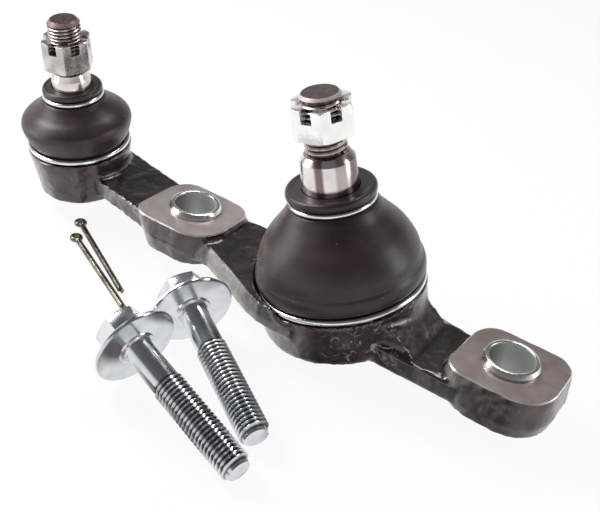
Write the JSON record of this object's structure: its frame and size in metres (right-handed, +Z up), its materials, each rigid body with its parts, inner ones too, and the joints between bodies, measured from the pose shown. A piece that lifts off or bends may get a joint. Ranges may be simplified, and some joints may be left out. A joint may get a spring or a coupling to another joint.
{
  "type": "suspension ball joint",
  "caption": "Forged suspension arm carrying a large and a small ball joint with rubber boots and castle nuts, with its flange bolts and split pins beside it.",
  "frame": {"origin": "middle of the bounding box, on the floor", "axes": "+X along the arm from the small joint to the end boss, +Z up, normal to the machined boss faces"},
  "size_m": [0.2622, 0.1332, 0.1051],
  "materials": {
    "painted_forging": "semi-gloss dark brown paint over a rough forging",
    "machined_steel": "machined bright steel",
    "seat_plastic": "natural acetal",
    "spring_steel": "blued spring steel",
    "ring_wire": "bright drawn wire",
    "boot_rubber": "satin black rubber",
    "bright_stud_steel": "ground bright steel",
    "nut_zinc": "silver zinc plate",
    "bolt_zinc": "blue-white zinc plate",
    "pin_steel": "dull olive zinc plate"
  },
  "bodies": {
    "arm": {"arm_forging": "painted_forging", "end_sleeve": "machined_steel", "middle_sleeve": "machined_steel", "large_bearing_shell": "seat_plastic", "large_pressure_disc": "seat_plastic", "large_disc_spring": "spring_steel", "large_base_plug": "machined_steel", "large_lower_ring": "ring_wire", "small_bearing_shell": "seat_plastic", "small_pressure_disc": "seat_plastic", "small_disc_spring": "spring_steel", "small_base_plug": "machined_steel", "small_lower_ring": "ring_wire"},
    "large_boot_turn": {"large_boot": "boot_rubber"},
    "large_collar": {"large_upper_ring": "ring_wire"},
    "large_stud": {"large_ball_stud": "bright_stud_steel", "large_castle_nut": "nut_zinc"},
    "small_boot_turn": {"small_boot": "boot_rubber"},
    "small_collar": {"small_upper_ring": "ring_wire"},
    "small_stud": {"small_ball_stud": "bright_stud_steel", "small_castle_nut": "nut_zinc"},
    "loose_front_bolt": {"front_bolt": "bolt_zinc"},
    "loose_rear_bolt": {"rear_bolt": "bolt_zinc"},
    "loose_front_split_pin": {"front_split_pin": "pin_steel"},
    "loose_rear_split_pin": {"rear_split_pin": "pin_steel"}
  },
  "joints": [
    {"name": "large_swing_direction", "type": "hinge", "parent": "arm", "child": "large_boot_turn", "pos_m": [0.03431, 0.03116, 0.02842], "axis": [-0.2417, -0.0957, 0.9656], "continuous": true},
    {"name": "large_tilt", "type": "hinge", "parent": "large_boot_turn", "child": "large_collar", "pos_m": [0.03431, 0.03116, 0.02842], "axis": [0.9704, -0.0238, 0.2405], "range_deg": [-25, 25], "deforming": ["large_boot"]},
    {"name": "large_stud_spin", "type": "hinge", "parent": "large_collar", "child": "large_stud", "pos_m": [0.03431, 0.03116, 0.02842], "axis": [-0.2417, -0.0957, 0.9656], "continuous": true},
    {"name": "small_swing_direction", "type": "hinge", "parent": "arm", "child": "small_boot_turn", "pos_m": [-0.1062, 0.03155, 0.02992], "axis": [-0.0741, -0.1143, 0.9907], "continuous": true},
    {"name": "small_tilt", "type": "hinge", "parent": "small_boot_turn", "child": "small_collar", "pos_m": [-0.1062, 0.03155, 0.02992], "axis": [0.9972, -0.0085, 0.0737], "range_deg": [-25, 25], "deforming": ["small_boot"]},
    {"name": "small_stud_spin", "type": "hinge", "parent": "small_collar", "child": "small_stud", "pos_m": [-0.1062, 0.03155, 0.02992], "axis": [-0.0741, -0.1143, 0.9907], "continuous": true},
    {"name": "front_bolt_lift", "type": "slide", "parent": "arm", "child": "loose_front_bolt", "axis": [0, 0, 1], "range_m": [0, 0.08]},
    {"name": "rear_bolt_lift", "type": "slide", "parent": "arm", "child": "loose_rear_bolt", "axis": [0, 0, 1], "range_m": [0, 0.08]},
    {"name": "front_split_pin_lift", "type": "slide", "parent": "arm", "child": "loose_front_split_pin", "axis": [0.1917, -0.2411, 0.9514], "range_m": [0, 0.08]},
    {"name": "rear_split_pin_lift", "type": "slide", "parent": "arm", "child": "loose_rear_split_pin", "axis": [0.1917, -0.2411, 0.9514], "range_m": [0, 0.08]}
  ]
}
